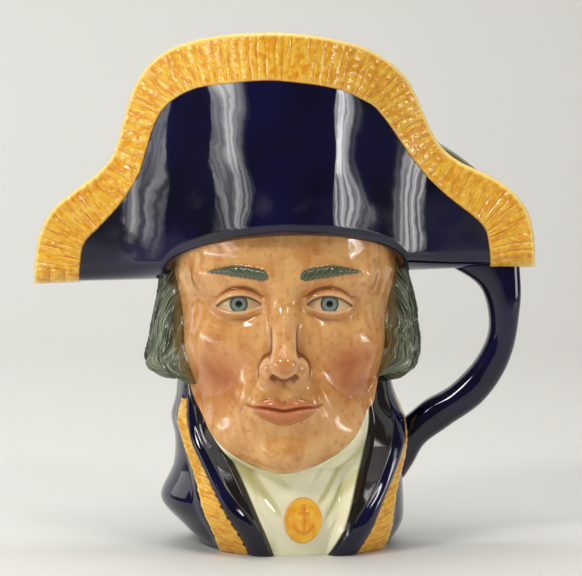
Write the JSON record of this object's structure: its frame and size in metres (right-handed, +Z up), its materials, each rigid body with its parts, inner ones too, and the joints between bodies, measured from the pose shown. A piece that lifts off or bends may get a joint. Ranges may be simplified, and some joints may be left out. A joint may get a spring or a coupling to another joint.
{
  "type": "character jug",
  "caption": "Hollow glazed ceramic jug shaped as the head of an officer in a cocked hat, open at the hat, with a loop handle at one side and a flat foot.",
  "frame": {"origin": "middle of the jug's axis on the flat foot, at the level of the table", "axes": "+Z up, the face looks along -Y, +X to the viewer's right, where the handle is"},
  "size_m": [0.1749, 0.1052, 0.1782],
  "materials": {
    "cobalt_glaze": "glossy dark blue glaze",
    "gold_glaze": "glossy mottled orange and yellow glaze",
    "skin_glaze": "glossy flesh glaze with ruddy cheeks",
    "inside_glaze": "glossy grey green glaze"
  },
  "bodies": {
    "root": {"jug": "cobalt_glaze"}
  },
  "joints": []
}
